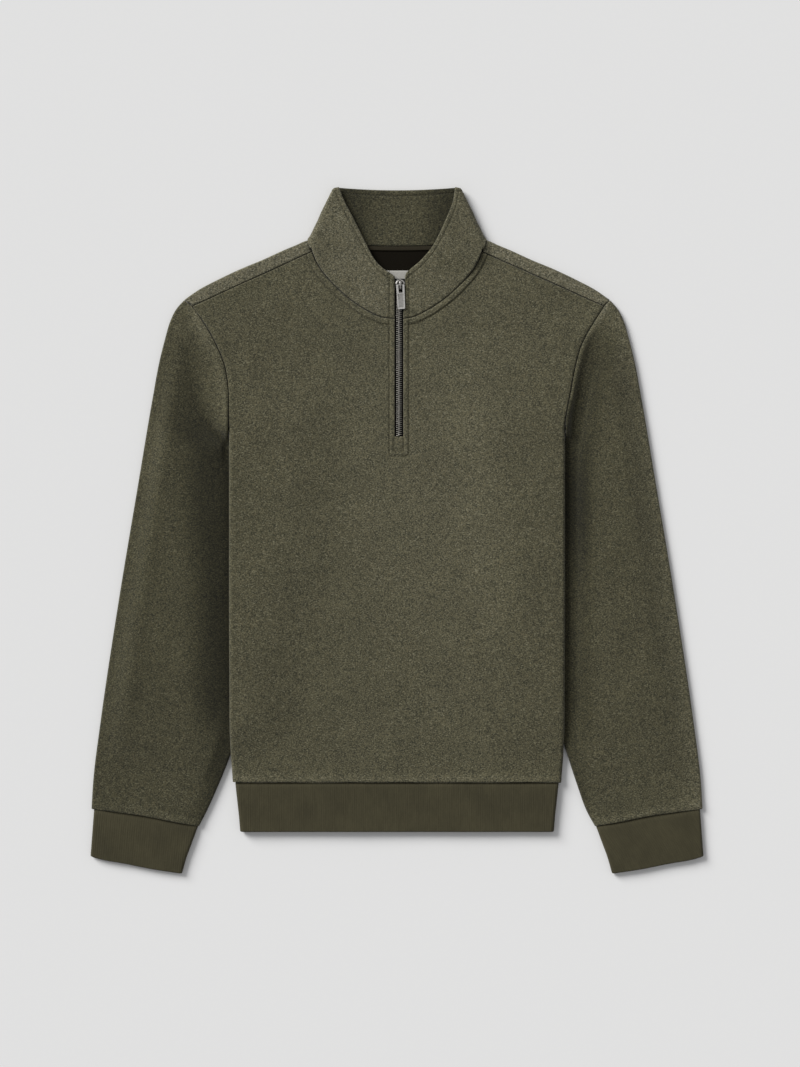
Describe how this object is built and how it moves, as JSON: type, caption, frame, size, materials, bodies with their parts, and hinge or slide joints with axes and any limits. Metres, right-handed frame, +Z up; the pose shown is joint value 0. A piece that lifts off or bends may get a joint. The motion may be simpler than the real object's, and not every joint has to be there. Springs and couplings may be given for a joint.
{
  "type": "half zip sweatshirt",
  "caption": "Fleece pullover laid flat, front up, with a stand collar folded open over a half-length zip, ribbed cuffs and hem band, and both sleeves tucked behind the body at the sides.",
  "frame": {"origin": "centre of the bounding box's base, on the table top under the middle of the body", "axes": "+X across the garment to the picture's right (the wearer's left), +Y from the hem to the collar, +Z up out of the table"},
  "size_m": [0.7226, 0.8087, 0.0141],
  "materials": {
    "fleece": "dark olive marl fleece with a short brushed nap, matt",
    "rib": "fine dark olive rib, matt",
    "neck_tape": "dark twill tape",
    "label": "blank pale grey woven label",
    "zip_tape": "near-black woven tape",
    "zip_teeth": "dark aged metal",
    "zip_metal": "aged silver, softly worn at the edges"
  },
  "bodies": {
    "garment": {"body_front": "fleece", "body_back": "fleece", "sleeve_left": "fleece", "sleeve_right": "fleece", "collar": "fleece", "cuff_left": "rib", "cuff_right": "rib", "hem_band": "rib", "neck_tape": "neck_tape", "neck_label": "label", "zip_tape_left": "zip_tape", "zip_tape_right": "zip_tape", "zip_chain": "zip_teeth", "zip_slider": "zip_metal"},
    "pull": {"zip_pull": "zip_metal"}
  },
  "joints": [
    {"name": "pull_hinge", "type": "hinge", "parent": "garment", "child": "pull", "pos_m": [0.0039, 0.28895, 0.0104], "axis": [-0.9988, -0.0489, 0], "range_deg": [0, 170]}
  ]
}
